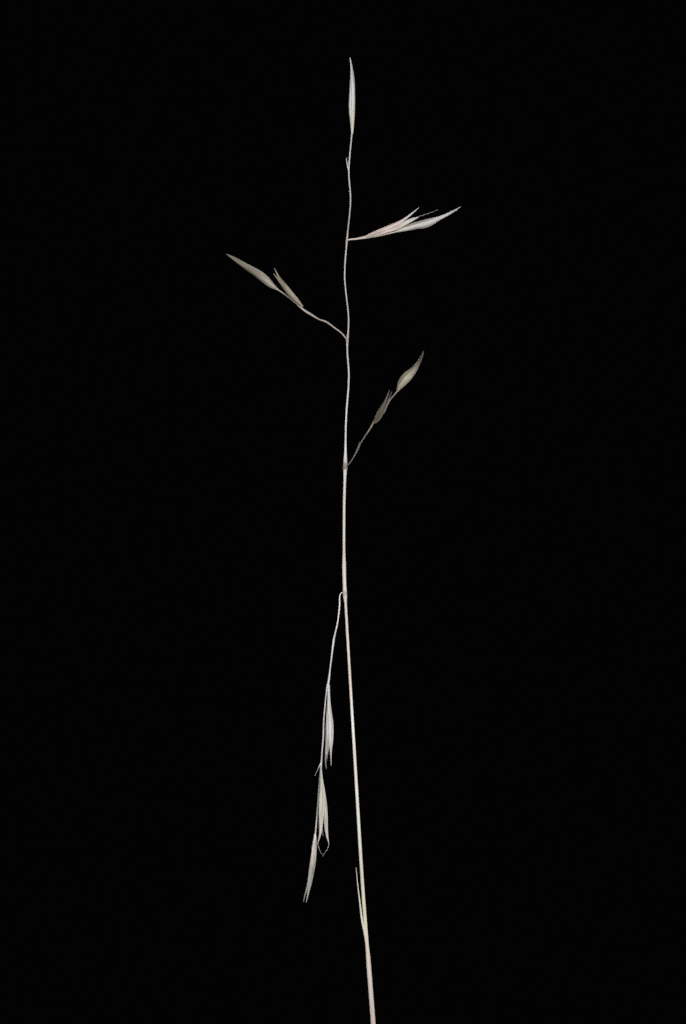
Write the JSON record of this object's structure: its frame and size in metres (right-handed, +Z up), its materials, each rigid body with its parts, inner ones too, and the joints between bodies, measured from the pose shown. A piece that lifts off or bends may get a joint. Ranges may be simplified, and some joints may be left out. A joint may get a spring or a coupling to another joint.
{
  "type": "potted flat-stem oat grass",
  "caption": "Dry flowering grass in a plain clay pot: a slender leaning culm with an open panicle of papery spikelets rises from a tuft of narrow arching leaves.",
  "frame": {"origin": "centre of the pot's flat foot, on the surface that it stands on", "axes": "+Z up; +Y away from the viewer of the picture; +X to the viewer's right, so the culm leans to -X"},
  "size_m": [0.17, 0.1682, 0.4],
  "materials": {
    "clay": "unglazed",
    "soil": "crumbly potting mix",
    "straw": "satin",
    "husk": "papery",
    "dry_leaf": "papery",
    "old_leaf": "matte"
  },
  "bodies": {
    "root": {"pot": "clay", "soil": "soil", "culm": "straw", "culm_leaf": "dry_leaf", "branch_upper_right": "straw", "branch_left": "straw", "branch_lower_right": "straw", "branch_drooping": "straw", "spikelet_top": "husk", "spikelet_upper_right_side": "husk", "spikelet_upper_right_end": "husk", "spikelet_left_side": "husk", "spikelet_left_end": "husk", "spikelet_lower_right_side": "husk", "spikelet_lower_right_end": "husk", "spikelet_drooping_first": "husk", "spikelet_drooping_second": "husk", "spikelet_drooping_end": "husk", "tiller_1": "dry_leaf", "tiller_2": "dry_leaf", "tiller_3": "dry_leaf", "tiller_4": "dry_leaf", "tiller_5": "dry_leaf", "tiller_6": "dry_leaf", "tiller_7": "dry_leaf", "tiller_8": "dry_leaf", "tiller_9": "dry_leaf", "old_tuft_1": "old_leaf", "old_tuft_2": "old_leaf", "old_tuft_3": "old_leaf", "old_tuft_4": "old_leaf", "old_tuft_5": "old_leaf", "old_tuft_6": "old_leaf", "old_tuft_7": "old_leaf", "old_tuft_8": "old_leaf", "old_tuft_9": "old_leaf"}
  },
  "joints": []
}
